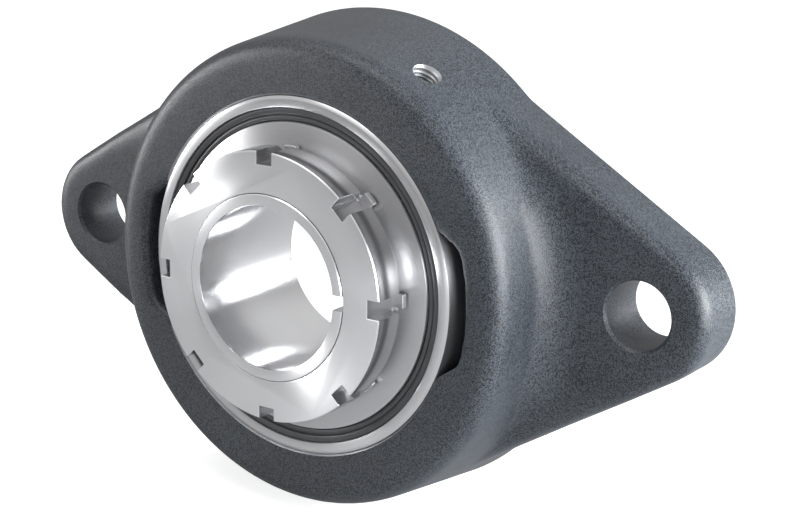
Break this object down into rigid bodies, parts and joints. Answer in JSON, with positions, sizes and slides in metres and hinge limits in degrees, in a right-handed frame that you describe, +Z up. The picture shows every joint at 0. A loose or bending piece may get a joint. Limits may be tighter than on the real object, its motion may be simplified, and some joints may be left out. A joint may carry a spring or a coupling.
{
  "type": "flange bearing unit",
  "caption": "Oval cast flange unit with a self-aligning sealed ball bearing insert, clamped on its shaft by a tapered adapter sleeve, lock washer and slotted nut.",
  "frame": {"origin": "middle of the bolt line, on the mounting face", "axes": "+X along the bolt line, +Y along the bearing axis into the wall that the unit is bolted to, +Z up; the nut faces -Y"},
  "size_m": [0.174, 0.0413, 0.1076],
  "materials": {
    "cast_housing": "fine-grained dark blue-grey coat on cast iron",
    "bearing_steel": "ground, satin",
    "polished_steel": "polished",
    "sheet_steel": "pressed sheet, dull",
    "seal_rubber": "dull",
    "turned_steel": "finely turned, bright"
  },
  "bodies": {
    "housing": {"housing": "cast_housing"},
    "outer_race": {"outer_ring": "bearing_steel", "front_seal_washer": "sheet_steel", "front_seal": "seal_rubber", "back_seal_washer": "sheet_steel", "back_seal": "seal_rubber"},
    "shaft_group": {"inner_ring": "bearing_steel", "adapter_sleeve": "turned_steel", "lock_washer": "sheet_steel", "lock_nut": "turned_steel", "front_flinger": "bearing_steel", "back_flinger": "bearing_steel"},
    "cage": {"cage_front_half": "sheet_steel", "cage_back_half": "sheet_steel", "cage_rivets": "sheet_steel"},
    "ball_1": {"ball_1": "polished_steel"},
    "ball_2": {"ball_2": "polished_steel"},
    "ball_3": {"ball_3": "polished_steel"},
    "ball_4": {"ball_4": "polished_steel"},
    "ball_5": {"ball_5": "polished_steel"},
    "ball_6": {"ball_6": "polished_steel"},
    "ball_7": {"ball_7": "polished_steel"},
    "ball_8": {"ball_8": "polished_steel"},
    "ball_9": {"ball_9": "polished_steel"}
  },
  "joints": [
    {"name": "seat_swivel", "type": "hinge", "parent": "housing", "child": "outer_race", "pos_m": [0, -0.0205, 0], "axis": [1, 0, 0], "range_deg": [-2.5, 2.5]},
    {"name": "shaft_spin", "type": "hinge", "parent": "outer_race", "child": "shaft_group", "pos_m": [0, -0.0205, 0], "axis": [0, 1, 0], "continuous": true},
    {"name": "cage_spin", "type": "hinge", "parent": "outer_race", "child": "cage", "pos_m": [0, -0.0205, 0], "axis": [0, 1, 0], "continuous": true},
    {"name": "ball_1_spin", "type": "hinge", "parent": "cage", "child": "ball_1", "pos_m": [0, -0.0205, 0.03], "axis": [0, 1, 0], "continuous": true},
    {"name": "ball_2_spin", "type": "hinge", "parent": "cage", "child": "ball_2", "pos_m": [-0.01928, -0.0205, 0.02298], "axis": [0, 1, 0], "continuous": true},
    {"name": "ball_3_spin", "type": "hinge", "parent": "cage", "child": "ball_3", "pos_m": [-0.02954, -0.0205, 0.00521], "axis": [0, 1, 0], "continuous": true},
    {"name": "ball_4_spin", "type": "hinge", "parent": "cage", "child": "ball_4", "pos_m": [-0.02598, -0.0205, -0.015], "axis": [0, 1, 0], "continuous": true},
    {"name": "ball_5_spin", "type": "hinge", "parent": "cage", "child": "ball_5", "pos_m": [-0.01026, -0.0205, -0.02819], "axis": [0, 1, 0], "continuous": true},
    {"name": "ball_6_spin", "type": "hinge", "parent": "cage", "child": "ball_6", "pos_m": [0.01026, -0.0205, -0.02819], "axis": [0, 1, 0], "continuous": true},
    {"name": "ball_7_spin", "type": "hinge", "parent": "cage", "child": "ball_7", "pos_m": [0.02598, -0.0205, -0.015], "axis": [0, 1, 0], "continuous": true},
    {"name": "ball_8_spin", "type": "hinge", "parent": "cage", "child": "ball_8", "pos_m": [0.02954, -0.0205, 0.00521], "axis": [0, 1, 0], "continuous": true},
    {"name": "ball_9_spin", "type": "hinge", "parent": "cage", "child": "ball_9", "pos_m": [0.01928, -0.0205, 0.02298], "axis": [0, 1, 0], "continuous": true}
  ],
  "couplings": [
    {"joint": "cage_spin", "follows": "shaft_spin", "ratio": 0.4},
    {"joint": "ball_1_spin", "follows": "shaft_spin", "ratio": -2.4},
    {"joint": "ball_2_spin", "follows": "shaft_spin", "ratio": -2.4},
    {"joint": "ball_3_spin", "follows": "shaft_spin", "ratio": -2.4},
    {"joint": "ball_4_spin", "follows": "shaft_spin", "ratio": -2.4},
    {"joint": "ball_5_spin", "follows": "shaft_spin", "ratio": -2.4},
    {"joint": "ball_6_spin", "follows": "shaft_spin", "ratio": -2.4},
    {"joint": "ball_7_spin", "follows": "shaft_spin", "ratio": -2.4},
    {"joint": "ball_8_spin", "follows": "shaft_spin", "ratio": -2.4},
    {"joint": "ball_9_spin", "follows": "shaft_spin", "ratio": -2.4}
  ]
}
